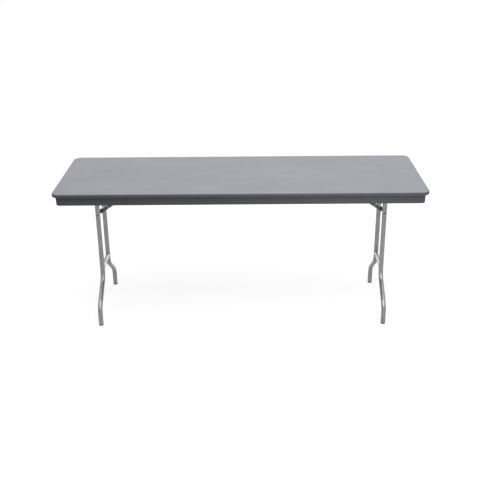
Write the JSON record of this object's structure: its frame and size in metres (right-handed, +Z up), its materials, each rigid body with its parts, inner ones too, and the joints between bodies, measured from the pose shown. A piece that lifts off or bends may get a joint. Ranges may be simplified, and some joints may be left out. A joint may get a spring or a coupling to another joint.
{
  "type": "folding table",
  "caption": "Rectangular folding table: moulded grey top with a rounded lip and set-back apron on two folding wishbone legs of bent steel tube with centre braces.",
  "frame": {"origin": "on the floor under the middle of the table top", "axes": "+X along the length of the top, +Y from the front to the rear, +Z up"},
  "size_m": [1.829, 0.61, 0.745],
  "materials": {
    "top_plastic": "moulded grey, lightly textured",
    "rim_plastic": "moulded darker grey",
    "board": "plywood",
    "rail_steel": "galvanised sheet",
    "screw_steel": "zinc plated",
    "brace_paint": "dark grey paint",
    "saddle_plastic": "black nylon",
    "rivet_steel": "zinc plated",
    "leg_steel": "zinc plated tube",
    "glide_plastic": "dark grey plastic"
  },
  "bodies": {
    "top": {"top_skin": "top_plastic", "core_board": "board", "underside_panel": "rim_plastic", "apron_rim": "rim_plastic", "side_rail_front": "rail_steel", "side_rail_rear": "rail_steel", "rail_screws": "screw_steel", "saddle_screws": "screw_steel", "bracket_screws": "screw_steel", "pivot_saddle_left_front": "saddle_plastic", "pivot_saddle_left_rear": "saddle_plastic", "brace_bracket_left": "brace_paint", "bracket_pin_left": "rivet_steel", "pivot_saddle_right_front": "saddle_plastic", "pivot_saddle_right_rear": "saddle_plastic", "brace_bracket_right": "brace_paint", "bracket_pin_right": "rivet_steel"},
    "left_leg": {"leg_tube_left_front": "leg_steel", "leg_tube_left_rear": "leg_steel", "foot_glide_left_front": "glide_plastic", "foot_glide_left_rear": "glide_plastic", "pivot_tube_left": "leg_steel", "lower_crossbar_left": "leg_steel", "brace_rod_left": "leg_steel", "rod_caps_left": "rivet_steel", "rod_collars_left": "glide_plastic"},
    "left_lower_brace": {"brace_bar_left_front": "brace_paint", "brace_bar_left_rear": "brace_paint", "brace_spacer_left": "rivet_steel", "knee_rivets_left": "rivet_steel"},
    "left_upper_brace": {"brace_upper_link_left": "brace_paint", "knee_pin_left": "rivet_steel"},
    "right_leg": {"leg_tube_right_front": "leg_steel", "leg_tube_right_rear": "leg_steel", "foot_glide_right_front": "glide_plastic", "foot_glide_right_rear": "glide_plastic", "pivot_tube_right": "leg_steel", "lower_crossbar_right": "leg_steel", "brace_rod_right": "leg_steel", "rod_caps_right": "rivet_steel", "rod_collars_right": "glide_plastic"},
    "right_lower_brace": {"brace_bar_right_front": "brace_paint", "brace_bar_right_rear": "brace_paint", "brace_spacer_right": "rivet_steel", "knee_rivets_right": "rivet_steel"},
    "right_upper_brace": {"brace_upper_link_right": "brace_paint", "knee_pin_right": "rivet_steel"}
  },
  "joints": [
    {"name": "left_leg_fold", "type": "hinge", "parent": "top", "child": "left_leg", "pos_m": [-0.736, 0, 0.7115], "axis": [0, -1, 0], "range_deg": [0, 90]},
    {"name": "left_lower_brace_swing", "type": "hinge", "parent": "left_leg", "child": "left_lower_brace", "pos_m": [-0.736, 0, 0.5455], "axis": [0, 1, 0], "range_deg": [0, 123.81]},
    {"name": "left_upper_brace_swing", "type": "hinge", "parent": "top", "child": "left_upper_brace", "pos_m": [-0.488, 0, 0.7115], "axis": [0, -1, 0], "range_deg": [0, 146.21]},
    {"name": "right_leg_fold", "type": "hinge", "parent": "top", "child": "right_leg", "pos_m": [0.736, 0, 0.7115], "axis": [0, 1, 0], "range_deg": [0, 90]},
    {"name": "right_lower_brace_swing", "type": "hinge", "parent": "right_leg", "child": "right_lower_brace", "pos_m": [0.736, 0, 0.5455], "axis": [0, -1, 0], "range_deg": [0, 123.81]},
    {"name": "right_upper_brace_swing", "type": "hinge", "parent": "top", "child": "right_upper_brace", "pos_m": [0.488, 0, 0.7115], "axis": [0, 1, 0], "range_deg": [0, 146.21]}
  ],
  "couplings": [
    {"joint": "left_lower_brace_swing", "follows": "left_leg_fold", "ratio": 1.3755},
    {"joint": "left_upper_brace_swing", "follows": "left_leg_fold", "ratio": 1.6245},
    {"joint": "right_lower_brace_swing", "follows": "right_leg_fold", "ratio": 1.3755},
    {"joint": "right_upper_brace_swing", "follows": "right_leg_fold", "ratio": 1.6245}
  ]
}
